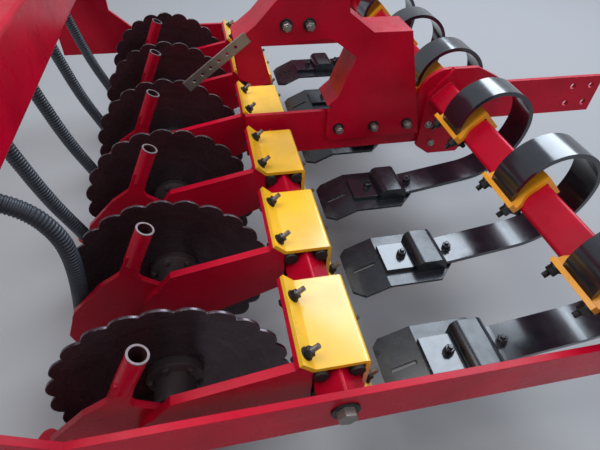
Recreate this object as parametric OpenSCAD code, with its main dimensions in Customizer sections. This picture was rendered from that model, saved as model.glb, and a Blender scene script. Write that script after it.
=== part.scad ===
// Front tool section of a seed drill: a frame bay with a row of disc openers on a cushioned
// square tube, a row of levelling boards on C springs, and the tower that carries the bay.
// X is the direction of travel, Y runs across the bay, Z is up.
// The origin is the carrier pin bore at the top of the tower.

/* [Layout] */
// Clear width between the two side plates, shared out evenly to six openers
bay_width = 1500; // [1440:5:1700]
// Thickness of the side plates, centre plate and tower foot
plate_t = 12; // [8:1:16]
// Gang tube below the carrier pin, measured down
pin_height = 395; // [370:5:420]
// Carrier pin ahead of the gang tube
pin_ahead = 120; // [110:1:130]
// Carrier pin bore
pin_bore = 40; // [25:1:50]

/* [Frame plates] */
// Top edge of a side plate above the gang axis
side_top = 42; // [35:1:50]
// Bottom edge of a side plate below the gang axis
side_drop = 52; // [45:1:60]
// Top edge of the centre plate above the gang axis
centre_top = 80; // [70:1:84]
// Bottom edge of the centre plate below the gang axis
centre_drop = 42; // [38:1:50]
// Front end of the centre plate ahead of the gang axis
centre_front = 980; // [700:5:1100]
// Top edge of the centre plate ahead of the board beam
front_top = 130; // [110:1:135]
// Depth of the centre plate ahead of the board beam
front_deep = 110; // [90:1:120]
// Rear end of the side plates behind the gang axis
side_rear = 660; // [645:5:720]
// Outer size of the rear cross tube
rear_tube = 140; // [100:5:150]
// Wall of the rear cross tube
rear_wall = 8; // [5:1:12]
// Rear cross tube behind the gang axis
rear_back = 550; // [540:5:560]
// Rear cross tube above the gang axis
rear_up = 316; // [310:2:330]

/* [Gang] */
// Across the flats of the square gang tube
gang_tube = 60; // [50:1:62]
// Wall of the gang tube
gang_wall = 6; // [4:1:10]
// Length of a clamp along the gang tube
clamp_len = 178; // [150:2:190]
// Inside width of the clamp housing
clamp_inside = 86; // [84:1:92]
// Wall of the clamp housing
clamp_wall = 8; // [5:1:10]
// Gap between the two halves of a clamp
split_gap = 0.6; // [0.4:0.1:0.8]
// Flange tips from the gang axis
flange_reach = 93; // [86:1:98]
// Rubber cord diameter
cord_d = 25; // [22:0.5:26]
// Rubber cord past each end of the clamp
cord_proud = 5; // [2:1:8]

/* [Opener] */
// Thickness of the opener arm
arm_t = 16; // [10:1:18]
// Disc centre behind the gang axis
disc_back = 267; // [260:1:280]
// Disc centre below the gang axis
disc_down = 75; // [65:1:85]
// Rim plane of a disc from the middle of its clamp
disc_side = -11; // [-14:1:-6]
// Disc radius
disc_r = 205; // [190:1:215]
// Disc thickness
disc_t = 5; // [4:0.5:7]
// Depth of the dish
dish = 32; // [26:1:38]
// Lean of the disc from upright in degrees
camber = 4; // [0:0.5:5]
// Lobes round the rim, with a notch between each two
notches = 24; // [20:1:28]
// Radius of a lobe
lobe_r = 30; // [28:1:34]
// Radius of the hub flange
hub_r = 50; // [44:1:56]
// Axle diameter
axle_d = 30; // [25:1:34]
// Seed tube outside diameter
seed_tube_d = 33; // [30:1:36]
// Seed tube inside diameter
seed_tube_bore = 27; // [24:1:28]
// Thickness of the boot plate
boot_t = 12; // [8:1:14]

/* [Levelling boards] */
// Across the flats of the board beam
beam_size = 70; // [60:1:74]
// Wall of the board beam
beam_wall = 6; // [4:1:10]
// Board beam ahead of the gang axis
beam_ahead = 486; // [480:1:495]
// Board beam above the gang axis
beam_up = 98; // [94:1:104]
// Boards and springs from the middle of the clamp behind them
board_side = -40; // [-42:1:-38]
// Spring steel thickness
spring_t = 10; // [8:1:12]
// Spring steel width
spring_w = 76; // [60:1:80]
// Middle line radius of the upper spring arc
coil_r = 95; // [90:1:100]
// Middle line radius of the lower spring arc
sweep_r = 150; // [140:1:160]
// Board width
board_w = 147; // [120:1:148]
// Board thickness
board_t = 6; // [5:1:8]
// Thickness of a spring bracket
bracket_t = 10; // [8:1:12]
// Width of a spring bracket
bracket_w = 113; // [100:1:116]

/* [Hoses] */
// Hose outside diameter
hose_d = 32; // [28:1:34]
// Cuff outside diameter
cuff_d = 40; // [38:1:42]

/* [Cylinder] */
// Barrel outside diameter
barrel_d = 50; // [44:1:54]
// Rod diameter
rod_d = 25; // [20:1:28]
// Pin diameter
cyl_pin_d = 24; // [20:1:26]

/* [Hidden] */
$fn = 48;
OPENERS = [1, 2, 3, 4, 5, 6];
HOSES = [2, 3, 4, 5, 6];
HANGING = [3, 4, 5, 6];
run = 0.05;
seat = 0.3;
half_bay = bay_width / 2;
opener_pitch = bay_width / 6;
clamp_out = clamp_inside / 2 + clamp_wall;
cord_off = (gang_tube / 2 + cord_d / 2 + 0.35) / sqrt(2);
arm_near = -clamp_len / 2;
arm_far = arm_near + arm_t;
boot_far = arm_far + boot_t;
tube_side = arm_far + 13;
hose_side = boot_far + cuff_d / 2 - 1;
bearing_r = beam_size * 0.66 + 4;
spring_lead = 34.6;
spring_low = -17.7;
tine_slope = 10;
bend_start = 340;
cylinder_side = half_bay - 54;
barrel_pin = [185, 90];
lever_angle = 123.1;
lever_r = 157.5;
// Hose routes down to the boot cuff, in X and Z from the gang axis: the near hose arches over
// from the rail, and the others hang from the rear tube
arched_route = [
    [-613, 203], [-600, 208], [-562, 214], [-526, 209], [-492, 193], [-464, 168], [-446, 136],
    [-436, 100], [-434, 65], [-436, 30], [-441, -10], [-448, -50], [-456, -90], [-464, -125]
];
hanging_route = [
    [-577, 222], [-577, 200], [-574, 175], [-569, 148], [-563, 118], [-556, 88], [-549, 57], [-541, 25],
    [-532, -7], [-522, -38], [-511, -68], [-500, -97], [-490, -125]
];
rail = [-641, 191];

// Points of the hose that reaches opener i
function hose_route(i) = i == 2 ? arched_route : hanging_route;

// Middle of clamp i along the gang tube
function station(i) = (i - 3.5) * opener_pitch;
function unit(v) = v / norm(v);

// Everything is laid out from the gang axis and then moved so that the pin is the origin
module from_pin() {
    translate([-pin_ahead, 0, -pin_height]) children();
}

// Raise a flat outline in X and Z into a plate from y0 to y1
module across(y0, y1) {
    rotate([90, 0, 0]) translate([0, 0, -y1]) linear_extrude(height = y1 - y0) children();
}

module round_square(w, r) {
    square([w - 2 * r, w], center = true);
    square([w, w - 2 * r], center = true);
    for (sx = [-1, 1], sz = [-1, 1])
        translate([sx * (w / 2 - r), sz * (w / 2 - r)]) circle(r = r);
}

module square_tube(w, wall, r) {
    difference() {
        round_square(w, r);
        square(w - 2 * wall, center = true);
    }
}

// Side plate: a long flat bar with a riser to the rear tube and a lug round the board beam
module side_outline() {
    difference() {
        union() {
            polygon([
                [-side_rear, -side_drop], [beam_ahead + 10, -side_drop], [beam_ahead + 74, 10],
                [beam_ahead + 74, beam_up], [beam_ahead - 10, beam_up + 50], [beam_ahead - 46, side_top],
                [-rear_back + 150, side_top], [-rear_back + rear_tube / 2 + 14, side_top + 60],
                [-rear_back + rear_tube / 2 + 14, rear_up + rear_tube / 2 + 14],
                [-side_rear + 20, rear_up + rear_tube / 2 + 14], [-side_rear, rear_up + rear_tube / 2]
            ]);
            translate([beam_ahead, beam_up]) circle(r = bearing_r + 12);
        }
        translate([beam_ahead, beam_up]) circle(r = bearing_r + run);
    }
}

module side_plate_near() color("crimson") from_pin()
    across(-half_bay - plate_t, -half_bay) side_outline();

// The far plate also has the post and pin of the cylinder
module side_plate_far() color("crimson") from_pin() {
    across(half_bay, half_bay + plate_t) {
        side_outline();
        polygon([[95, side_top - 1], [150, barrel_pin[1] + 28], [220, barrel_pin[1] + 28], [275, side_top - 1]]);
    }
    across(cylinder_side - 20, half_bay + 1) translate(barrel_pin) circle(d = cyl_pin_d);
}

// Centre plate: the gang tube passes through it, a lug plate on it holds the board beam, and
// it runs on forward as a bar with four bolt holes at its end
module lug_outline() {
    polygon([
        [beam_ahead - 54, -50], [beam_ahead - 11, -80], [beam_ahead + 80, -80],
        [beam_ahead + 142, front_top - front_deep], [beam_ahead + 142, front_top + 20],
        [beam_ahead + 72, beam_up + 85], [beam_ahead + 3, beam_up + 85], [beam_ahead - 54, beam_up + 12]
    ]);
}

module centre_plate() color("crimson") from_pin() difference() {
    union() {
        across(-plate_t / 2, plate_t / 2) {
            polygon([
                [-64, -centre_drop], [beam_ahead - 30, -centre_drop], [beam_ahead + 40, front_top - front_deep],
                [centre_front, front_top - front_deep], [centre_front, front_top],
                [beam_ahead - 30, front_top], [beam_ahead - 60, centre_top], [-64, centre_top]
            ]);
            translate([beam_ahead, beam_up]) circle(r = bearing_r + 30);
        }
        across(-plate_t * 1.5, -plate_t / 2 + 1) lug_outline();
    }
    across(-plate_t * 2, plate_t) {
        translate([beam_ahead, beam_up]) circle(r = bearing_r + run);
        rotate(45) square(gang_tube + 2 * seat, center = true);
        for (x = [28, 88], z = [28, front_deep - 28])
            translate([centre_front - x, front_top - z]) circle(d = 18);
    }
}

// Tower: a deep column and crossbar over a flat foot that is bolted to the centre plate
module tower_foot_outline() {
    polygon([
        [165, -5], [427, -5], [348, 286], [250, 286], [215, 227], [177, 124], [153, 78], [153, 10]
    ]);
}

module tower_head_outline() {
    polygon([
        [150, 100], [399, 100], [348, 286], [250, 286], [185, 333], [168, 445], [72, 445], [16, 364],
        [-32, 313], [-82, 275], [-76, 189], [-38, 170], [3, 172], [-21, 267], [0, 267], [140, 276],
        [163, 264], [215, 227], [177, 124]
    ]);
}

module tower() color("crimson") from_pin() difference() {
    union() {
        across(-plate_t * 1.5, -plate_t / 2) tower_foot_outline();
        across(-plate_t * 1.5, 82) difference() {
            tower_head_outline();
            translate([pin_ahead, pin_height]) circle(d = pin_bore);
        }
    }
}

module gang_tube() color("crimson") from_pin()
    across(-half_bay, half_bay) rotate(45) square_tube(gang_tube, gang_wall, 5);

module rear_tube() color("red") from_pin() {
    across(-half_bay, half_bay) translate([-rear_back, rear_up]) square_tube(rear_tube, rear_wall, 10);
    for (i = HANGING) translate([0, station(i) + hose_side, 0])
        cuff(hanging_route[0], [0, 1], rear_up - rear_tube / 2 - hanging_route[0][1] + 2);
}

// Both halves of a clamp are cut from one section: a square housing with two diagonal flanges
module clamp_section(side) {
    intersection() {
        difference() {
            union() {
                round_square(2 * clamp_out, 8);
                rotate(135) square([2 * flange_reach, 2 * clamp_wall + split_gap], center = true);
            }
            square(clamp_inside, center = true);
        }
        rotate(45) translate([side > 0 ? split_gap / 2 : -200 - split_gap / 2, -200]) square([200, 400]);
    }
}

module clamp_cap(i) color("goldenrod") from_pin() translate([0, station(i), 0])
    across(-clamp_len / 2, clamp_len / 2) clamp_section(1);

module rubber_cords() color("black") from_pin()
    for (i = OPENERS, sx = [-1, 1], sz = [-1, 1]) translate([0, station(i), 0])
        across(-clamp_len / 2 - cord_proud, clamp_len / 2 + cord_proud)
            translate([sx * cord_off, sz * cord_off]) circle(d = cord_d);

// Opener arm outline, from the clamp to the hub
module arm_outline() {
    polygon([
        [-clamp_out + 4, -clamp_out + 1], [-clamp_out + 4, 44], [-70, 57], [-disc_back + 4, 17],
        [-disc_back - 58, -disc_down + 14], [-disc_back, -disc_down], [-disc_back + 15, -disc_down - 58]
    ]);
    translate([-disc_back, -disc_down]) circle(r = 60);
}

// Boot plate: a forked plate below the seed tube, down to the share beside the disc
module boot_outline() {
    polygon([
        [-302, 70], [-315, 33], [-322, 17], [-318, 4], [-308, -5], [-273, -32], [-262, -75], [-298, -140],
        [-296, -250], [-340, -256], [-385, -215], [-478, -200], [-490, -140], [-462, -70], [-396, -3],
        [-355, 24], [-332, 70]
    ]);
}

module share_outline() {
    polygon([[-300, -150], [-296, -250], [-340, -256], [-385, -215], [-380, -160]]);
}

module disc_frame(i) {
    translate([-disc_back, station(i) + disc_side, -disc_down]) rotate([-90 - camber, 0, 0]) children();
}

seed_top = [-289, 124];
seed_foot = [-328, 42];

// Cuff that the end of a hose meets face to face
module cuff(p, away, len) {
    translate([p[0], 0, p[1]]) rotate([0, 90 - atan2(away[1], away[0]), 0]) cylinder(d = cuff_d, h = len);
}

module boot_cuff(route) {
    foot = route[len(route) - 1];
    cuff(foot, foot - route[len(route) - 2], 62);
}

module seed_tube(d, extra) {
    run_vec = seed_top - seed_foot;
    translate([seed_foot[0], tube_side, seed_foot[1]])
        rotate([0, 90 - atan2(run_vec[1], run_vec[0]), 0])
            cylinder(d = d, h = norm(run_vec) + extra);
}

module opener_arm(i) color("firebrick") from_pin() {
    translate([0, station(i), 0]) difference() {
        union() {
            across(-clamp_len / 2, clamp_len / 2) clamp_section(-1);
            across(arm_near, arm_far) arm_outline();
            across(arm_far, boot_far) boot_outline();
            across(boot_far - 1, boot_far + 30) share_outline();
            seed_tube(seed_tube_d, 0);
            translate([0, hose_side, 0]) boot_cuff(hose_route(i));
        }
        seed_tube(seed_tube_bore, 5);
    }
    disc_frame(i) translate([0, 0, -70]) cylinder(d = axle_d, h = 108);
}

// Disc blade: a dished shell with notches round its rim
module disc(i) color("dimgray") from_pin() disc_frame(i) {
    ball = (disc_r * disc_r + dish * dish) / (2 * dish);
    intersection() {
        rotate_extrude($fn = 96) intersection() {
            translate([0, dish - ball]) difference() {
                circle(r = ball + disc_t, $fn = 360);
                circle(r = ball, $fn = 360);
            }
            translate([28 + seat, -10]) square([disc_r + 10, 60]);
        }
        translate([0, 0, -20]) linear_extrude(height = 80) {
            circle(r = disc_r - 16);
            for (k = [0:notches - 1]) rotate(k * 360 / notches)
                translate([disc_r - lobe_r, 0]) circle(r = lobe_r);
        }
    }
}

// Hub: a flanged housing that runs on the axle and is capped behind the disc
module hub(i) color("gray") from_pin() disc_frame(i) rotate_extrude($fn = 64) polygon([
    [axle_d / 2 + run, -40], [34, -40], [36, -36], [36, 6], [hub_r, 14], [hub_r, dish - 2.2], [28, dish - 2.2],
    [28, dish + disc_t + 3], [34, dish + disc_t + 3], [30, dish + disc_t + 20], [0, dish + disc_t + 24],
    [0, 40], [axle_d / 2 + run, 40]
]);

// Frame of the upper left face of the board beam: x along the face, y out of it
module beam_face() {
    translate([beam_ahead, beam_up]) rotate(45) children();
}

// Spring bracket: a plate over the ridge of the beam with a lip that stops the spring
module bracket_outline() {
    near = beam_size / 2 + seat;
    beam_face() {
        translate([-beam_size / 2 - 14, near]) square([near + beam_size / 2 + 14 + bracket_t, bracket_t]);
        translate([near, -12]) square([bracket_t, near + 12 + bracket_t]);
        translate([-beam_size / 2 - 14, near]) square([bracket_t, bracket_t + spring_t + 4]);
    }
}

// Plan of a bracket along the face: wide at the lip, then stepped in towards the ridge
module bracket_plan() {
    w = bracket_w / 2;
    polygon([
        [-60, -w], [-34, -w], [-27, -w + 2], [-20, -w + 7], [-12, -w + 11], [-4, -w + 13], [60, -w + 13],
        [60, w - 13], [-4, w - 13], [-12, w - 11], [-20, w - 7], [-27, w - 2], [-34, w], [-60, w]
    ]);
}

module spring_brackets() color("goldenrod") from_pin()
    for (i = OPENERS) translate([0, station(i) + board_side, 0]) intersection() {
        across(-bracket_w / 2 - 1, bracket_w / 2 + 1) bracket_outline();
        translate([beam_ahead, 0, beam_up]) rotate([0, -45, 0])
            translate([0, 0, -60]) linear_extrude(height = 160) bracket_plan();
    }

// Spring band: a coil round the beam that starts on the bracket, behind its lip, and opens out
// into the tine, as a chain of round and straight stretches of one thickness
spring_c = [
    beam_ahead + (spring_lead - spring_low) / sqrt(2),
    beam_up + (spring_lead + spring_low) / sqrt(2)
];
sweep_c = [spring_c[0] + coil_r - sweep_r, spring_c[1]];
tine_start = sweep_c + sweep_r * [sin(tine_slope), -cos(tine_slope)];
tine_len = (tine_start[0] - bend_start) / cos(tine_slope);
tine_end = tine_start - tine_len * [cos(tine_slope), sin(tine_slope)];
bend_r = 200;
bend_c = tine_end + bend_r * [-sin(tine_slope), cos(tine_slope)];
flat_z = bend_c[1] - bend_r;
flat_end = 190;

module ring_sector(c, r, a0, a1) {
    translate(c) intersection() {
        difference() {
            circle(r = r + spring_t / 2, $fn = 96);
            circle(r = r - spring_t / 2, $fn = 96);
        }
        polygon([[0, 0], for (a = [a0:(a1 - a0) / 6:a1 + 0.01]) 1.5 * r * [cos(a), sin(a)]]);
    }
}

module c_spring(i) color("#202024") from_pin() translate([0, station(i) + board_side, 0])
    across(-spring_w / 2, spring_w / 2) {
        intersection() {
            ring_sector(spring_c, coil_r, -0.5, 215);
            beam_face() translate([-beam_size / 2 - 14 + bracket_t + seat, beam_size / 2 + seat + bracket_t])
                square(300);
        }
        ring_sector(spring_c, coil_r, -0.5, 100);
        ring_sector(sweep_c, sweep_r, -90 + tine_slope - 0.5, 0.5);
        translate(tine_end) rotate(tine_slope) translate([-0.5, -spring_t / 2])
            square([tine_len + 1, spring_t]);
        ring_sector(bend_c, bend_r, -90 - 0.2, -90 + tine_slope + 0.2);
        translate([flat_end, flat_z - spring_t / 2]) square([bend_c[0] - flat_end + 0.5, spring_t]);
    }

// Board: a bent plate with a sloping lip and clipped corners, under a saddle that grips the tine
board_top = flat_z - spring_t / 2 - seat;
lip_angle = 25;
lip_len = 84;
lip_tip = [188 - lip_len * cos(lip_angle), board_top - lip_len * sin(lip_angle)];

module board_plan() {
    polygon([
        [lip_tip[0], -board_w / 2 + 26], [lip_tip[0] + 24, -board_w / 2], [309, -board_w / 2],
        [350, -board_w / 2 + 41], [350, board_w / 2 - 41], [309, board_w / 2],
        [lip_tip[0] + 14, board_w / 2], [lip_tip[0], board_w / 2 - 14]
    ]);
}

module board(i) color("#26262a") from_pin() translate([0, station(i) + board_side, 0]) {
    difference() {
        intersection() {
            across(-board_w / 2 - 1, board_w / 2 + 1) polygon([
                lip_tip, [188, board_top], [351, board_top], [351, board_top - board_t],
                [188 + board_t * tan(lip_angle / 2), board_top - board_t],
                lip_tip + board_t * [sin(lip_angle), -cos(lip_angle)]
            ]);
            translate([0, 0, board_top - 60]) linear_extrude(height = 80) board_plan();
        }
        translate([130, -4, board_top - 60]) cube([46, 8, 70]);
    }
    difference() {
        across(-spring_w / 2 - 11, spring_w / 2 + 11) translate([291, board_top]) {
            translate([-34, -1]) square([68, 19]);
            translate([-18, 0]) square([36, 34]);
            for (s = [-1, 1]) translate([s * 18, 18]) circle(r = 16);
        }
        across(-spring_w / 2 - 1, spring_w / 2 + 1) translate([250, board_top - 0.5])
            square([90, spring_t + 3]);
    }
}

// Board beam: a square tube turned on edge, with round collars in the plates and the cylinder lever
module board_beam() color("crimson") from_pin() {
    difference() {
        union() {
            across(-half_bay - plate_t, half_bay + plate_t) translate([beam_ahead, beam_up]) rotate(45)
                round_square(beam_size, 8);
            for (y = [-half_bay - plate_t / 2, -plate_t / 2, half_bay + plate_t / 2])
                across(y - plate_t, y + plate_t) translate([beam_ahead, beam_up]) circle(r = bearing_r);
            across(cylinder_side - 38, cylinder_side - 26) translate([beam_ahead, beam_up]) rotate(lever_angle) {
                translate([0, -30]) square([lever_r, 60]);
                translate([lever_r, 0]) circle(r = 30);
            }
            across(cylinder_side - 30, cylinder_side + 20) translate([beam_ahead, beam_up])
                rotate(lever_angle) translate([lever_r, 0]) circle(d = cyl_pin_d);
        }
        across(-half_bay - plate_t + beam_wall, half_bay + plate_t - beam_wall)
            translate([beam_ahead, beam_up]) rotate(45) square(beam_size - 2 * beam_wall, center = true);
    }
}

rod_pin = [beam_ahead, beam_up] + lever_r * [cos(lever_angle), sin(lever_angle)];
cyl_dir = unit(rod_pin - barrel_pin);
eye_distance = norm(rod_pin - barrel_pin);

// Stand the cylinder's own axis, from the barrel pin to the rod pin, along local X
module cylinder_axis() {
    translate([barrel_pin[0], cylinder_side, barrel_pin[1]])
        rotate([0, -atan2(cyl_dir[1], cyl_dir[0]), 0]) children();
}

module cylinder_barrel() color("#303034") from_pin() cylinder_axis() difference() {
    union() {
        rotate([90, 0, 0]) cylinder(r = 22, h = 30, center = true);
        translate([16, 0, 0]) rotate([0, 90, 0]) cylinder(d = barrel_d, h = 164);
    }
    rotate([90, 0, 0]) cylinder(d = cyl_pin_d + 2 * run, h = 60, center = true);
    translate([28, 0, 0]) rotate([0, 90, 0]) cylinder(d = rod_d + 2 * run, h = 200);
}

module cylinder_rod() color("silver") from_pin() cylinder_axis() difference() {
    union() {
        translate([78, 0, 0]) rotate([0, 90, 0]) cylinder(d = rod_d, h = eye_distance - 78 - 16);
        translate([eye_distance, 0, 0]) rotate([90, 0, 0]) cylinder(r = 24, h = 30, center = true);
    }
    translate([eye_distance, 0, 0]) rotate([90, 0, 0]) cylinder(d = cyl_pin_d + 8, h = 60, center = true);
}

module scale_strip() color("lightgray") from_pin()
    across(-plate_t * 1.5 - 5, -plate_t * 1.5) difference() {
        translate([-60, 283]) rotate(217) translate([-10, -13]) square([185, 26]);
        for (k = [1:6]) translate([-60, 283]) rotate(217) translate([25 * k, 0]) circle(d = 8);
    }

// Hose rail: a bar behind the rear tube that holds the cuff of the near hose
module hose_rail() color("firebrick") from_pin() {
    side = station(2) + hose_side;
    across(-half_bay, side + 40) translate([rail[0] - 15, rail[1] - 15]) square(30);
    across(side - 10, side + 30) polygon([
        [rail[0] - 15, rail[1]], [rail[0] + 5, rail[1]], [-rear_back - rear_tube / 2, rear_up - 40],
        [-rear_back - rear_tube / 2, rear_up + 30], [rail[0] - 15, rear_up + 30]
    ]);
    translate([0, side, 0]) cuff(arched_route[0], arched_route[0] - arched_route[1], 24);
}

function heading(p, k) = unit(p[min(k + 1, len(p) - 1)] - p[max(k - 1, 0)]);
function ring(c, d, r, n) = [
    for (j = [0:n - 1]) [
        c[0] - r * cos(360 * j / n) * d[1],
        r * sin(360 * j / n),
        c[1] + r * cos(360 * j / n) * d[0]
    ]
];

module hose(i) color("#23262c") from_pin() translate([0, station(i) + hose_side, 0]) {
    n = 10;
    route = hose_route(i);
    m = len(route);
    pts = [for (k = [0:m - 1]) each ring(route[k], heading(route, k), hose_d / 2, n)];
    polyhedron(points = pts, faces = concat(
        [[for (j = [0:n - 1]) j]],
        [for (k = [0:m - 2], j = [0:n - 1]) [
            k * n + j, (k + 1) * n + j, (k + 1) * n + (j + 1) % n, k * n + (j + 1) % n
        ]],
        [[for (j = [n - 1:-1:0]) (m - 1) * n + j]]
    ));
}

side_plate_near();
side_plate_far();
centre_plate();
tower();
gang_tube();
rear_tube();
rubber_cords();
scale_strip();
hose_rail();
opener_arm(1);  // opener_arm_1
opener_arm(2);  // opener_arm_2
opener_arm(3);  // opener_arm_3
opener_arm(4);  // opener_arm_4
opener_arm(5);  // opener_arm_5
opener_arm(6);  // opener_arm_6
clamp_cap(1);  // clamp_cap_1
clamp_cap(2);  // clamp_cap_2
clamp_cap(3);  // clamp_cap_3
clamp_cap(4);  // clamp_cap_4
clamp_cap(5);  // clamp_cap_5
clamp_cap(6);  // clamp_cap_6
disc(1);  // disc_1
disc(2);  // disc_2
disc(3);  // disc_3
disc(4);  // disc_4
disc(5);  // disc_5
disc(6);  // disc_6
hub(1);  // hub_1
hub(2);  // hub_2
hub(3);  // hub_3
hub(4);  // hub_4
hub(5);  // hub_5
hub(6);  // hub_6
board_beam();
spring_brackets();
c_spring(1);  // c_spring_1
c_spring(2);  // c_spring_2
c_spring(3);  // c_spring_3
c_spring(4);  // c_spring_4
c_spring(5);  // c_spring_5
c_spring(6);  // c_spring_6
board(1);  // board_1
board(2);  // board_2
board(3);  // board_3
board(4);  // board_4
board(5);  // board_5
board(6);  // board_6
hose(2);  // hose_2
hose(3);  // hose_3
hose(4);  // hose_4
hose(5);  // hose_5
hose(6);  // hose_6
cylinder_barrel();
cylinder_rod();
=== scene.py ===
import math
import bmesh
import bpy
from mathutils import Matrix, Vector


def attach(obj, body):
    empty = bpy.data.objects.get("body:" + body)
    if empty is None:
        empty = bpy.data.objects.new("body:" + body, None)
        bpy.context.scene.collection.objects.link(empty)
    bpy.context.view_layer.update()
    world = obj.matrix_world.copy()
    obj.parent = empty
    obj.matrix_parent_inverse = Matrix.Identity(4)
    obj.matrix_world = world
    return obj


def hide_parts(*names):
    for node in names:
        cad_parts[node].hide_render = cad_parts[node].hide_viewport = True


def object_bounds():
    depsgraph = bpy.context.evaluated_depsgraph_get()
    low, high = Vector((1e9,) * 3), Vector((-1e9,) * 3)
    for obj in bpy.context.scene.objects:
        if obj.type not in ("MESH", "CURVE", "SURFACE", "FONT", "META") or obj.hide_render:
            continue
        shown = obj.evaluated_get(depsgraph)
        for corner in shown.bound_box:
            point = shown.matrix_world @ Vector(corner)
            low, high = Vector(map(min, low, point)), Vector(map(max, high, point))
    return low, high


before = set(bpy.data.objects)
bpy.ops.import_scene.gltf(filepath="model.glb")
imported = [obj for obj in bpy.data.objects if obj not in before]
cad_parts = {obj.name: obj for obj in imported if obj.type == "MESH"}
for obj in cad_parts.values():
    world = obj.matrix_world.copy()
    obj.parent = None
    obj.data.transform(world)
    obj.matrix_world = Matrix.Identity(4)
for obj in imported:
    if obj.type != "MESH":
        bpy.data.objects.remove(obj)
cad_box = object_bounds()
bpy.ops.object.select_all(action="DESELECT")
scene = bpy.context.scene

# Camera. It stands behind the bay on its near side, above the discs, and looks down across
# the row at 44 degrees. The lens sees 67 degrees across.
bpy.ops.object.camera_add()
camera = bpy.context.object
camera.name = "camera"
camera.data.lens = 27.0
camera.data.sensor_width = 36.0
camera.data.clip_start = 0.02
camera.matrix_world = Matrix((
    (0.97888303, 0.11321653, -0.17020583, -0.27573),
    (-0.20107167, 0.68336884, -0.70183845, -1.04167),
    (0.03685365, 0.72124132, 0.69170280, 0.29248),
    (0.0, 0.0, 0.0, 1.0)))
scene.camera = camera

# Hoses. Corrugated blue-black plastic, one down to the boot cuff of each opener from the second
# on. The near one arches over from its rail, and the others hang from cuffs under the rear tube.
# Places are in millimetres ahead of, across and above the middle of the gang tube.
STATIONS = [-625, -375, -125, 125, 375, 625]
GANG_BACK = 0.120
GANG_DROP = 0.395
HOSE_SIDE = -42
HOSE_STEP = 0.0017
HOSE_FACETS = 24
HOSE_RINGS = [0.0158, 0.0158, 0.0145, 0.0145]
CURVE_PARTS = 24
ARCHED_STOPS = [
    (-613, 203), (-600, 208), (-562, 214), (-526, 209), (-492, 193), (-464, 168), (-446, 136),
    (-436, 100), (-434, 65), (-436, 30), (-441, -10), (-448, -50), (-456, -90), (-464, -125)]
HANGING_STOPS = [
    (-577, 222), (-577, 200), (-574, 175), (-569, 148), (-563, 118), (-556, 88), (-549, 57),
    (-541, 25), (-532, -7), (-522, -38), (-511, -68), (-500, -97), (-490, -125)]


def bay(x, y, z):
    """A point in millimetres from the gang tube, in metres from the carrier pin."""
    return Vector((x / 1000 - GANG_BACK, y / 1000, z / 1000 - GANG_DROP))


def smooth_line(stops, step):
    """A smooth curve through the stops, cut into steps of one length."""
    ends = [2 * stops[0] - stops[1]] + stops + [2 * stops[-1] - stops[-2]]
    fine = []
    for a, b, c, d in zip(ends, ends[1:], ends[2:], ends[3:]):
        for k in range(CURVE_PARTS):
            t = k / CURVE_PARTS
            fine.append(0.5 * (2 * b + (c - a) * t + (2 * a - 5 * b + 4 * c - d) * t * t
                               + (3 * b - a - 3 * c + d) * t ** 3))
    fine.append(stops[-1])
    line, left = [fine[0]], step
    for a, b in zip(fine, fine[1:]):
        while (b - a).length > left:
            a = a + (b - a).normalized() * left
            line.append(a)
            left = step
        left -= (b - a).length
    line.append(fine[-1])
    return line


def new_piece(name, verts, faces):
    """A piece at the origin from its corners and faces."""
    mesh = bpy.data.meshes.new(name)
    mesh.from_pydata(verts, [], faces)
    piece = bpy.data.objects.new(name, mesh)
    scene.collection.objects.link(piece)
    return piece


def ringed_tube(name, line, radii, sides):
    """A tube along a line whose radius repeats down the list of radii."""
    verts, faces = [], []
    for k, p in enumerate(line):
        ahead = (line[min(k + 1, len(line) - 1)] - line[max(k - 1, 0)]).normalized()
        over = ahead.cross(Vector((0, 1, 0))).normalized()
        out = over.cross(ahead)
        r = radii[k % len(radii)]
        for j in range(sides):
            a = 2 * math.pi * j / sides
            verts.append(p + r * (math.cos(a) * over + math.sin(a) * out))
    for k in range(len(line) - 1):
        for j in range(sides):
            n = (j + 1) % sides
            faces.append((k * sides + j, (k + 1) * sides + j,
                          (k + 1) * sides + n, k * sides + n))
    faces.append(tuple(range(sides)))
    faces.append(tuple((len(line) - 1) * sides + j for j in reversed(range(sides))))
    return new_piece(name, verts, faces)


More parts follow.
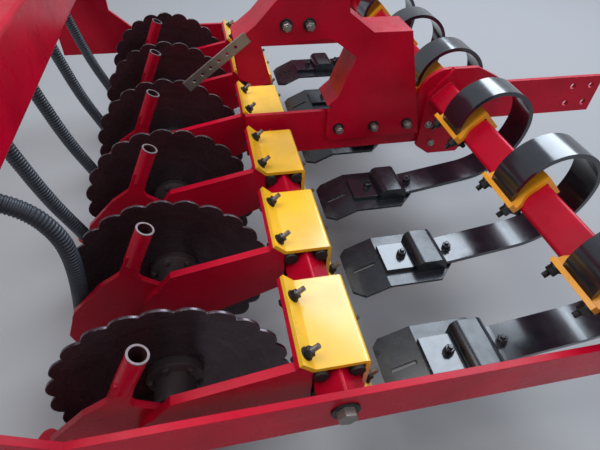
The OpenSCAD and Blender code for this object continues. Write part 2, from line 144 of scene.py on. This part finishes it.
def finish(name, colour, metal=0.0, rough=(0.3, 0.5), grain=60, bump=0.05, worn=None, wear=0.0,
           dust=(0.34, 0.31, 0.28), dusty=0.0, coat=0.0, shine=0.5, soft_edge=0.0015):
    """A surface with uneven colour and gloss, dust on what faces up, and worn or softened edges."""
    material = bpy.data.materials.new(name)
    material.use_nodes = True
    tree = material.node_tree
    add, link = tree.nodes.new, tree.links.new
    shader = tree.nodes["Principled BSDF"]
    place = add("ShaderNodeTexCoord")

    def noise(scale, detail=5.0):
        node = add("ShaderNodeTexNoise")
        node.inputs["Scale"].default_value = scale
        node.inputs["Detail"].default_value = detail
        link(place.outputs["Object"], node.inputs["Vector"])
        return node.outputs["Fac"]

    def spread(value, low, high, to_low=0.0, to_high=1.0):
        node = add("ShaderNodeMapRange")
        link(value, node.inputs["Value"])
        for socket, number in zip(("From Min", "From Max", "To Min", "To Max"),
                                  (low, high, to_low, to_high)):
            node.inputs[socket].default_value = number
        return node.outputs["Result"]

    def times(a, b):
        node = add("ShaderNodeMath")
        node.operation = "MULTIPLY"
        link(a, node.inputs[0])
        if isinstance(b, float):
            node.inputs[1].default_value = b
        else:
            link(b, node.inputs[1])
        return node.outputs["Value"]

    def blend(share, a, b):
        node = add("ShaderNodeMix")
        node.data_type = "RGBA"
        link(share, node.inputs["Factor"])
        for socket, colour_in in ((node.inputs["A"], a), (node.inputs["B"], b)):
            if isinstance(colour_in, tuple):
                socket.default_value = (*colour_in, 1)
            else:
                link(colour_in, socket)
        return node.outputs["Result"]

    deep = tuple(c * 0.72 for c in colour)
    look = blend(spread(noise(7), 0.35, 0.65), colour, deep)
    gloss = spread(noise(grain), 0.3, 0.7, rough[0], rough[1])
    normal = add("ShaderNodeNewGeometry").outputs["Normal"]
    if dusty > 0:
        height = add("ShaderNodeSeparateXYZ")
        link(normal, height.inputs[0])
        film = times(spread(height.outputs["Z"], 0.2, 1.0), spread(noise(24, 8), 0.42, 0.75))
        look = blend(times(film, dusty), look, dust)
    bevel = add("ShaderNodeBevel")
    bevel.samples = 4
    bevel.inputs["Radius"].default_value = soft_edge
    if worn:
        turn = add("ShaderNodeVectorMath")
        turn.operation = "DOT_PRODUCT"
        link(bevel.outputs["Normal"], turn.inputs[0])
        link(normal, turn.inputs[1])
        edge = times(spread(turn.outputs["Value"], 0.97, 0.8), spread(noise(45, 8), 0.5, 0.68))
        look = blend(times(edge, wear), look, worn)
    relief = add("ShaderNodeBump")
    relief.inputs["Strength"].default_value = bump
    relief.inputs["Distance"].default_value = 0.001
    link(noise(grain * 6, 3), relief.inputs["Height"])
    link(bevel.outputs["Normal"], relief.inputs["Normal"])
    link(look, shader.inputs["Base Color"])
    link(gloss, shader.inputs["Roughness"])
    link(relief.outputs["Normal"], shader.inputs["Normal"])
    shader.inputs["Metallic"].default_value = metal
    shader.inputs["Coat Weight"].default_value = coat
    shader.inputs["Coat Roughness"].default_value = 0.12
    shader.inputs["Specular IOR Level"].default_value = shine
    return material


def dress(nodes, material):
    """Give CAD nodes their finish."""
    for node in nodes:
        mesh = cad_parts[node].data
        mesh.materials.clear()
        mesh.materials.append(material)


hose_plastic = finish("hose_plastic", (0.030, 0.038, 0.052), rough=(0.34, 0.5), grain=80,
                      bump=0.08, dusty=0.25, dust=(0.16, 0.18, 0.21))
for number in range(2, 7):
    side = STATIONS[number - 1] + HOSE_SIDE
    route = ARCHED_STOPS if number == 2 else HANGING_STOPS
    line = smooth_line([bay(x, side, z) for x, z in route], HOSE_STEP)
    hose = ringed_tube(f"hose_corrugated_{number}", line, HOSE_RINGS, HOSE_FACETS)
    hose.data.materials.append(hose_plastic)
    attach(hose, "frame")
    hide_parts(f"hose_{number}")

# Floor and lamps. A pale concrete floor under the discs, a wide window lamp beyond the far
# side that lights the top edges, two softer lamps, and a pale room all round.
FLOOR_GAP = 0.001
FLOOR_SIZE = 14
LIT_POINT = Vector((0, 0, -0.4))
WHITE = (1.0, 1.0, 1.0)
SKY_WHITE = (0.77, 0.88, 1.0)
bpy.ops.mesh.primitive_plane_add(size=FLOOR_SIZE, location=(0, 0, cad_box[0][2] - FLOOR_GAP))
floor = bpy.context.object
floor.name = "floor"
floor_look = bpy.data.materials.new("floor_concrete")
floor_look.use_nodes = True
floor_shader = floor_look.node_tree.nodes["Principled BSDF"]
floor_shader.inputs["Base Color"].default_value = (0.31, 0.308, 0.318, 1)
floor_shader.inputs["Roughness"].default_value = 0.85
floor.data.materials.append(floor_look)

for name, place, size, power, colour in (
        ("lamp_window", (2.0, 1.9, 2.6), 2.6, 165, SKY_WHITE),
        ("lamp_key", (-1.7, -0.2, 2.5), 2.0, 54, WHITE),
        ("lamp_fill", (1.6, -2.2, 1.8), 2.5, 22, WHITE)):
    bpy.ops.object.light_add(type="AREA", location=place)
    lamp = bpy.context.object
    lamp.name = name
    lamp.data.size = size
    lamp.data.energy = power
    lamp.data.color = colour
    lamp.rotation_euler = (LIT_POINT - Vector(place)).to_track_quat("-Z", "Y").to_euler()

world = bpy.data.worlds.new("room")
scene.world = world
world.use_nodes = True
room = world.node_tree.nodes["Background"]
room.inputs["Color"].default_value = (0.80, 0.84, 0.90, 1)
room.inputs["Strength"].default_value = 0.55
scene.view_settings.view_transform = "Standard"

# Frame. Plates, tubes, tower and opener arms are welded steel under one coat of glossy
# crimson enamel, with a film of dust on top and the paint rubbed thin along its edges.
crimson = finish("crimson_enamel", (0.49, 0.002, 0.022), rough=(0.24, 0.36), grain=30, bump=0.03,
                 worn=(0.16, 0.01, 0.014), wear=0.5, dusty=0.02, dust=(0.30, 0.10, 0.10), coat=0.03,
                 shine=0.18)
dress(["side_plate_near", "side_plate_far", "centre_plate", "tower", "gang_tube", "rear_tube",
       "hose_rail", "board_beam"] + [f"opener_arm_{n}" for n in range(1, 7)], crimson)

# Welds. Rippled beads under the same enamel, round the board beam at its collars, round the rear
# tube at the side plates, and down each opener arm where it joins its clamp.
BEAD_RIPPLE = [0.0029, 0.0034, 0.0037, 0.0034]
BEAD_STEP = 0.0013
BEAD_FACETS = 10
BEAM_X, BEAM_Z, BEAM_HALF, BEAM_CORNER = 486, 98, 35, 8
REAR_X, REAR_Z, REAR_HALF, REAR_CORNER = -550, 316, 70, 10
ARM_WELD = [(-51, -48), (-51, -20), (-51, 15), (-51, 42)]
ARM_WELD_SIDE = -73


def weld(name, stops, y, body):
    """A bead along a line of stops in X and Z, at one distance across the bay."""
    line = smooth_line([bay(x, y, z) for x, z in stops], BEAD_STEP)
    bead = ringed_tube(name, line, BEAD_RIPPLE, BEAD_FACETS)
    bead.data.materials.append(crimson)
    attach(bead, body)


def tube_ring(x, z, half, corner, turn):
    """Stops round a square tube with rounded corners, back to the first one."""
    stops = []
    for side in range(4):
        for along, out in ((-half + corner, half), (0, half), (half - corner, half),
                           (half - corner * 0.3, half - corner * 0.3)):
            a = math.radians(turn - 90 * side)
            stops.append((x + along * math.cos(a) - out * math.sin(a),
                          z + along * math.sin(a) + out * math.cos(a)))
    return stops + stops[:1]


for name, y in (("near", -744), ("centre_near", -18), ("centre_far", 6), ("far", 744)):
    weld(f"weld_beam_{name}", tube_ring(BEAM_X, BEAM_Z, BEAM_HALF, BEAM_CORNER, 45), y,
         "levelling_boards")
for name, y in (("near", -750), ("far", 750)):
    weld(f"weld_rear_{name}", tube_ring(REAR_X, REAR_Z, REAR_HALF, REAR_CORNER, 0), y, "frame")
for number, station in enumerate(STATIONS, 1):
    weld(f"weld_arm_{number}", ARM_WELD, station + ARM_WELD_SIDE, "frame")

# Clamps. Folded caps in orange-yellow enamel over four black rubber cords, drawn together
# by four bolts whose studs stand out of the caps.
# The caps take the lit tone of the yellow paint. The brackets' copy of it carries painted shade.
yellow = finish("yellow_enamel", (0.95, 0.52, 0.014), rough=(0.24, 0.4), grain=30, bump=0.04,
                worn=(0.18, 0.13, 0.08), wear=0.7, dusty=0.06, coat=0.8, shine=0.5)
rubber = finish("rubber_black", (0.012, 0.012, 0.013), rough=(0.55, 0.75), grain=120, bump=0.2,
                dusty=0.2, soft_edge=0.002)
dress([f"clamp_cap_{n}" for n in range(1, 7)], yellow)
dress(["rubber_cords"], rubber)
bolt_black = finish("bolt_black", (0.035, 0.034, 0.035), metal=0.8, rough=(0.3, 0.5), grain=90,
                    bump=0.1, worn=(0.3, 0.29, 0.28), wear=0.8, dusty=0.15, soft_edge=0.0006)
CROWN_INSET = 0.09
CROWN_RISE = 0.14
STUD_FROM = 1.15
TOUCH = 0.00001
THREAD_PITCH = 0.0015
THREAD_ROOT = 0.87
THREAD_START = 0.001
WASHER, STUD = 1, 2
CLAMP_BOLTS_ALONG = (-79, 79)
CLAMP_BOLTS_ACROSS = (-66, 46)
CLAMP_SEAT = 8.3


def edit_faces(piece, wanted):
    """Open a piece in edit mode with only the wanted faces selected."""
    bpy.ops.object.mode_set(mode="EDIT")
    bpy.ops.mesh.select_all(action="DESELECT")
    mesh = bmesh.from_edit_mesh(piece.data)
    for face in mesh.faces:
        face.select = wanted(face)
    bmesh.update_edit_mesh(piece.data)


def faces_up(face):
    """Whether a face looks up."""
    return face.normal.z > 0.9


def hex_fastener(name, across, height, washer, washer_t, stud=0.0, stud_d=0.0):
    """A hexagon head or nut on a washer, its crown chamfered, with a threaded stud past it."""
    bpy.ops.mesh.primitive_cylinder_add(vertices=28, radius=washer / 2, depth=washer_t,
                                        location=(0, 0, washer_t / 2))
    parts = [bpy.context.object]
    bpy.ops.mesh.primitive_cylinder_add(vertices=6, radius=across / math.sqrt(3), depth=height,
                                        location=(0, 0, washer_t + height / 2))
    head = bpy.context.object
    parts.append(head)
    edit_faces(head, faces_up)
    bpy.ops.mesh.inset(thickness=across * CROWN_INSET, depth=0)
    bpy.ops.transform.translate(value=(0, 0, height * CROWN_RISE))
    bpy.ops.object.mode_set(mode="OBJECT")
    if stud > 0:
        top = washer_t + height
        bpy.ops.mesh.primitive_cylinder_add(vertices=16, radius=stud_d / 2, depth=THREAD_START,
                                            location=(0, 0, top + THREAD_START / 2))
        thread = bpy.context.object
        parts.append(thread)
        edit_faces(thread, faces_up)
        for turn in range(int(stud / THREAD_PITCH)):
            grow = THREAD_ROOT if turn % 2 == 0 else 1 / THREAD_ROOT
            bpy.ops.mesh.extrude_region_move(
                TRANSFORM_OT_translate={"value": (0, 0, THREAD_PITCH)})
            bpy.ops.transform.resize(value=(grow, grow, 1))
        bpy.ops.object.mode_set(mode="OBJECT")
    bpy.ops.object.select_all(action="DESELECT")
    for part in parts:
        part.select_set(True)
    bpy.context.view_layer.objects.active = parts[0]
    bpy.ops.object.join()
    bpy.ops.object.transform_apply(location=True, rotation=True, scale=True)
    pattern = bpy.context.object
    pattern.name = name
    for face in pattern.data.polygons:
        if face.center.z < washer_t + TOUCH:
            face.material_index = WASHER
        elif stud > 0 and face.center.z > washer_t + height * STUD_FROM:
            face.material_index = STUD
    return pattern


def fix(pattern, name, at, way, body, material, turn=0.0, washer=None, thread=None):
    """A copy of a fastener, seated at a point and standing out along a way."""
    mesh = pattern.data.copy()
    stand = Vector(way).to_track_quat("Z", "Y").to_matrix().to_4x4()
    mesh.transform(Matrix.Translation(at) @ stand @ Matrix.Rotation(turn, 4, "Z"))
    finishes = [material]
    for index, extra in ((WASHER, washer), (STUD, thread)):
        if extra:
            finishes.append(extra)
        for face in mesh.polygons:
            if face.material_index == index:
                face.material_index = len(finishes) - 1 if extra else 0
    for look in finishes:
        mesh.materials.append(look)
    piece = bpy.data.objects.new(name, mesh)
    scene.collection.objects.link(piece)
    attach(piece, body)


stud_steel = finish("stud_steel", (0.26, 0.23, 0.22), metal=0.85, rough=(0.3, 0.5), grain=90,
                    bump=0.1, worn=(0.5, 0.47, 0.44), wear=0.6, dusty=0.2,
                    dust=(0.20, 0.11, 0.07), soft_edge=0.0004)
clamp_nut = hex_fastener("clamp_nut", 0.017, 0.009, 0.024, 0.002, stud=0.015, stud_d=0.010)
clamp_head = hex_fastener("clamp_head", 0.017, 0.0075, 0.024, 0.002)
count = 0
for station in STATIONS:
    for along in CLAMP_BOLTS_ALONG:
        for across in CLAMP_BOLTS_ACROSS:
            count += 1
            for pattern, out in ((clamp_nut, 1), (clamp_head, -1)):
                seat = out * CLAMP_SEAT
                spot = bay((seat - along) / math.sqrt(2), station + across,
                           (seat + along) / math.sqrt(2))
                fix(pattern, f"{pattern.name}_{count}", spot, (out, 0, out), "frame", bolt_black,
                    turn=0.4 * count, thread=stud_steel)

# Plate bolts. Plain zinc hexagon bolts on black washers hold the gang tube in the side plates,
# the head and the foot of the tower, and the bearing plates round the board beam.
zinc = finish("bolt_zinc", (0.34, 0.32, 0.29), metal=0.85, rough=(0.3, 0.48), grain=90, bump=0.1,
              worn=(0.5, 0.49, 0.47), wear=0.5, dusty=0.2, dust=(0.26, 0.22, 0.18),
              soft_edge=0.0008)
gang_bolt = hex_fastener("gang_bolt", 0.030, 0.0128, 0.048, 0.003)
plate_bolt = hex_fastener("plate_bolt", 0.019, 0.013, 0.030, 0.003, stud=0.007, stud_d=0.012)
PLATE_FACE = 762
for name, way in (("near", -1), ("far", 1)):
    fix(gang_bolt, f"gang_bolt_{name}", bay(0, way * PLATE_FACE, 0), (0, way, 0), "frame", zinc,
        turn=0.3, washer=bolt_black)
TOWER_BOLTS = [(186, 32, -18), (286, 31, -18), (383, 32, -18), (451, 21, -6), (475, -42, -6),
               (37, 310, -18), (91, 310, -18)]
for number, (x, z, side) in enumerate(TOWER_BOLTS, 1):
    fix(plate_bolt, f"tower_bolt_{number}", bay(x, side, z), (0, -1, 0), "frame", zinc,
        turn=0.5 * number, washer=bolt_black)

# Disc blades. Hardened steel, dark from the rolling scale, scratched in circles by the soil
# and ground bright along the cut edge of the notched rim. Each leans 4 degrees.
DISC_LEAN = math.radians(-94)
AXLE_X, AXLE_SIDE, AXLE_Z = -267, -11, -75
SCRATCH_RINGS = 260.0


def disc_steel(name, centre):
    """Dark steel with scratches that run in circles round the disc's own axle."""
    material = finish(name, (0.125, 0.098, 0.114), metal=0.75, rough=(0.2, 0.34), grain=40,
                      bump=0.04, worn=(0.50, 0.46, 0.46), wear=1.0, dusty=0.12,
                      dust=(0.14, 0.12, 0.13), soft_edge=0.0022)
    tree = material.node_tree
    add, link = tree.nodes.new, tree.links.new
    shader = tree.nodes["Principled BSDF"]
    seat = add("ShaderNodeMapping")
    seat.vector_type = "TEXTURE"
    seat.inputs["Location"].default_value = centre
    seat.inputs["Rotation"].default_value = (DISC_LEAN, 0, 0)
    link(add("ShaderNodeTexCoord").outputs["Object"], seat.inputs["Vector"])
    split = add("ShaderNodeSeparateXYZ")
    link(seat.outputs["Vector"], split.inputs[0])

    def sums(kind, a, b):
        node = add("ShaderNodeMath")
        node.operation = kind
        for socket, value in zip(node.inputs, (a, b)):
            if isinstance(value, float):
                socket.default_value = value
            else:
                link(value, socket)
        return node.outputs["Value"]

    flat = add("ShaderNodeCombineXYZ")
    link(split.outputs["X"], flat.inputs["X"])
    link(split.outputs["Y"], flat.inputs["Y"])
    reach = add("ShaderNodeVectorMath")
    reach.operation = "LENGTH"
    link(flat.outputs["Vector"], reach.inputs[0])
    rings = add("ShaderNodeCombineXYZ")
    link(sums("MULTIPLY", reach.outputs["Value"], SCRATCH_RINGS), rings.inputs["X"])
    link(sums("ARCTAN2", split.outputs["Y"], split.outputs["X"]), rings.inputs["Y"])
    lines = add("ShaderNodeTexNoise")
    lines.inputs["Scale"].default_value = 1.0
    lines.inputs["Detail"].default_value = 4.0
    link(rings.outputs["Vector"], lines.inputs["Vector"])
    base = shader.inputs["Base Color"].links[0].from_socket
    rub = add("ShaderNodeMix")
    rub.data_type = "RGBA"
    rub.blend_type = "MULTIPLY"
    rub.inputs["Factor"].default_value = 1.0
    tone = add("ShaderNodeValToRGB")
    tone.color_ramp.elements[0].position = 0.35
    tone.color_ramp.elements[0].color = (0.84, 0.80, 0.81, 1)
    tone.color_ramp.elements[1].position = 0.68
    tone.color_ramp.elements[1].color = (1.14, 1.12, 1.12, 1)
    link(lines.outputs["Fac"], tone.inputs["Fac"])
    link(base, rub.inputs["A"])
    link(tone.outputs["Color"], rub.inputs["B"])
    link(rub.outputs["Result"], shader.inputs["Base Color"])
    return material


for number, station in enumerate(STATIONS, 1):
    centre = bay(AXLE_X, station + AXLE_SIDE, AXLE_Z)
    dress([f"disc_{number}"], disc_steel(f"disc_steel_{number}", centre))

# Hubs. Cast housings, dark, dull and a little dusty, with six bolts round the shoulder of the
# flange that holds the disc.
cast = finish("hub_cast", (0.085, 0.070, 0.074), metal=0.6, rough=(0.4, 0.6), grain=60, bump=0.25,
              worn=(0.20, 0.18, 0.18), wear=0.6, dusty=0.3, dust=(0.13, 0.09, 0.09))
dress([f"hub_{n}" for n in range(1, 7)], cast)
hub_bolt = hex_fastener("hub_bolt", 0.010, 0.005, 0.013, 0.001)
HUB_BOLTS = 6
HUB_BOLT_RING = 0.0425
HUB_BOLT_DEPTH = 0.0092
for number, station in enumerate(STATIONS, 1):
    centre = bay(AXLE_X, station + AXLE_SIDE, AXLE_Z)
    lean = Matrix.Translation(centre) @ Matrix.Rotation(DISC_LEAN, 4, "X")
    for k in range(HUB_BOLTS):
        a = math.radians(360 / HUB_BOLTS * k + 15)
        spot = lean @ Vector((HUB_BOLT_RING * math.cos(a), HUB_BOLT_RING * math.sin(a),
                              HUB_BOLT_DEPTH))
        out = lean.to_3x3() @ Vector((math.cos(a) * 0.48, math.sin(a) * 0.48, -0.87))
        fix(hub_bolt, f"hub_bolt_{number}_{k}", spot, out, f"opener_disc_{number}", cast,
            turn=k)

# Seed tubes. Each red tube is cut off square at the top. Its cut rim is bare steel. The dull,
# unpainted steel inside the bore is darkened further as painted shade, for the deep open tube.
bare = finish("bare_rim", (0.17, 0.13, 0.135), metal=0.6, rough=(0.4, 0.55), grain=90, bump=0.05,
              soft_edge=0.0006)
# The bore's dark finish is painted shade for the shadowed inside of the deep tube, on its dull
# unpainted steel.
bore_painted_shade = finish("bore_painted_shade", (0.055, 0.010, 0.014), metal=0.3, rough=(0.6, 0.8), grain=90,
                   bump=0.1)
BORE = WASHER
TUBE_X, TUBE_SIDE, TUBE_Z = -289, -60, 124
TUBE_WAY = Vector((39, 0, 82)).normalized()
RIM_RADIUS = 0.01665
RIM_HEIGHT = 0.002
RIM_SEAT = 0.0004
bpy.ops.mesh.primitive_cylinder_add(vertices=40, radius=RIM_RADIUS, depth=RIM_HEIGHT)
rim = bpy.context.object
for way, wall, reach in ((-1, 0.0033, 0.064), (1, 0.0037, 0.0645)):
    edit_faces(rim, lambda face: face.normal.z * way > 0.9
               and abs(face.calc_center_median().z) < 0.0011)
    bpy.ops.mesh.inset(thickness=wall, depth=0)
    bpy.ops.mesh.extrude_region_move(TRANSFORM_OT_translate={"value": (0, 0, -reach)})
    bpy.ops.object.mode_set(mode="OBJECT")
# The faces down inside the bore take the painted shade.
for face in rim.data.polygons:
    face.material_index = BORE if face.center.z < -0.005 else 0
for number, station in enumerate(STATIONS, 1):
    mouth = bay(TUBE_X, station + TUBE_SIDE, TUBE_Z) - TUBE_WAY * RIM_SEAT
    fix(rim, f"seed_tube_rim_{number}", mouth, TUBE_WAY, "frame", bare,
        washer=bore_painted_shade)

# Levelling boards. Springs, saddles and boards of black lacquered spring steel, the springs with
# the glossier coat. Two bolts draw each saddle down over the tine, and four hold each yellow
# bracket to the beam.
lacquer = finish("black_lacquer", (0.010, 0.012, 0.018), rough=(0.2, 0.32), grain=50, bump=0.04,
                 worn=(0.09, 0.10, 0.12), wear=0.5, dusty=0.03, dust=(0.20, 0.22, 0.26), coat=0.25,
                 shine=0.45)
dress([f"board_{n}" for n in range(1, 7)] + ["cylinder_barrel"], lacquer)
spring_black = finish("spring_lacquer", (0.010, 0.012, 0.020), rough=(0.15, 0.25), grain=50,
                      bump=0.03, worn=(0.09, 0.10, 0.12), wear=0.5, dusty=0.03,
                      dust=(0.20, 0.22, 0.26), coat=0.7, shine=0.6)
dress([f"c_spring_{n}" for n in range(1, 7)], spring_black)
# The brackets take a deeper, more orange copy of the caps' yellow enamel: the same paint, with
# painted shade for the less lit brackets.
bracket_painted_shade = finish("bracket_enamel_painted_shade", (0.90, 0.36, 0.012), rough=(0.26, 0.4), grain=30, bump=0.04,
               worn=(0.25, 0.15, 0.06), wear=0.6, dusty=0.06, coat=0.3, shine=0.4)
dress(["spring_brackets"], bracket_painted_shade)
saddle_bolt = hex_fastener("saddle_bolt", 0.017, 0.010, 0.022, 0.002, stud=0.009, stud_d=0.010)
bracket_bolt = hex_fastener("bracket_bolt", 0.019, 0.011, 0.026, 0.003, stud=0.012, stud_d=0.012)
BOARD_SIDE = -40
SADDLE_BOLTS = [(236, -63.0, 0), (346, -58.9, -0.17)]
BRACKET_BOLTS = [("lip", -49, 42, (-1, 0, -1)), ("foot", -42, 35.3, (1, 0, -1))]
BRACKET_BOLTS_ACROSS = (-44, 44)
for number, station in enumerate(STATIONS, 1):
    side = station + BOARD_SIDE
    for k, (x, z, tilt) in enumerate(SADDLE_BOLTS):
        fix(saddle_bolt, f"saddle_bolt_{number}_{k}", bay(x, side, z), (tilt, 0, 1),
            "levelling_boards", lacquer, turn=number + k)
    for k, across in enumerate(BRACKET_BOLTS_ACROSS):
        for name, along, up, way in BRACKET_BOLTS:
            spot = bay(BEAM_X + (along - up) / math.sqrt(2), side + across,
                       BEAM_Z + (along + up) / math.sqrt(2))
            fix(bracket_bolt, f"bracket_{name}_{number}_{k}", spot, way, "levelling_boards",
                bolt_black, turn=number + k)

# Cylinder and scale. A ground rod of hard chrome slides in the black barrel and tilts the beam
# of the boards. A plated steel strip with a row of holes stands out from the tower as a scale.
chrome = finish("rod_chrome", (0.62, 0.62, 0.63), metal=1.0, rough=(0.08, 0.16), grain=60,
                bump=0.01)
dress(["cylinder_rod"], chrome)
dress(["scale_strip"], zinc)

# Patterns. The fasteners and the rim that were copied from are removed.
for pattern in (clamp_nut, clamp_head, gang_bolt, plate_bolt, hub_bolt, rim, saddle_bolt,
                bracket_bolt):
    bpy.data.objects.remove(pattern)
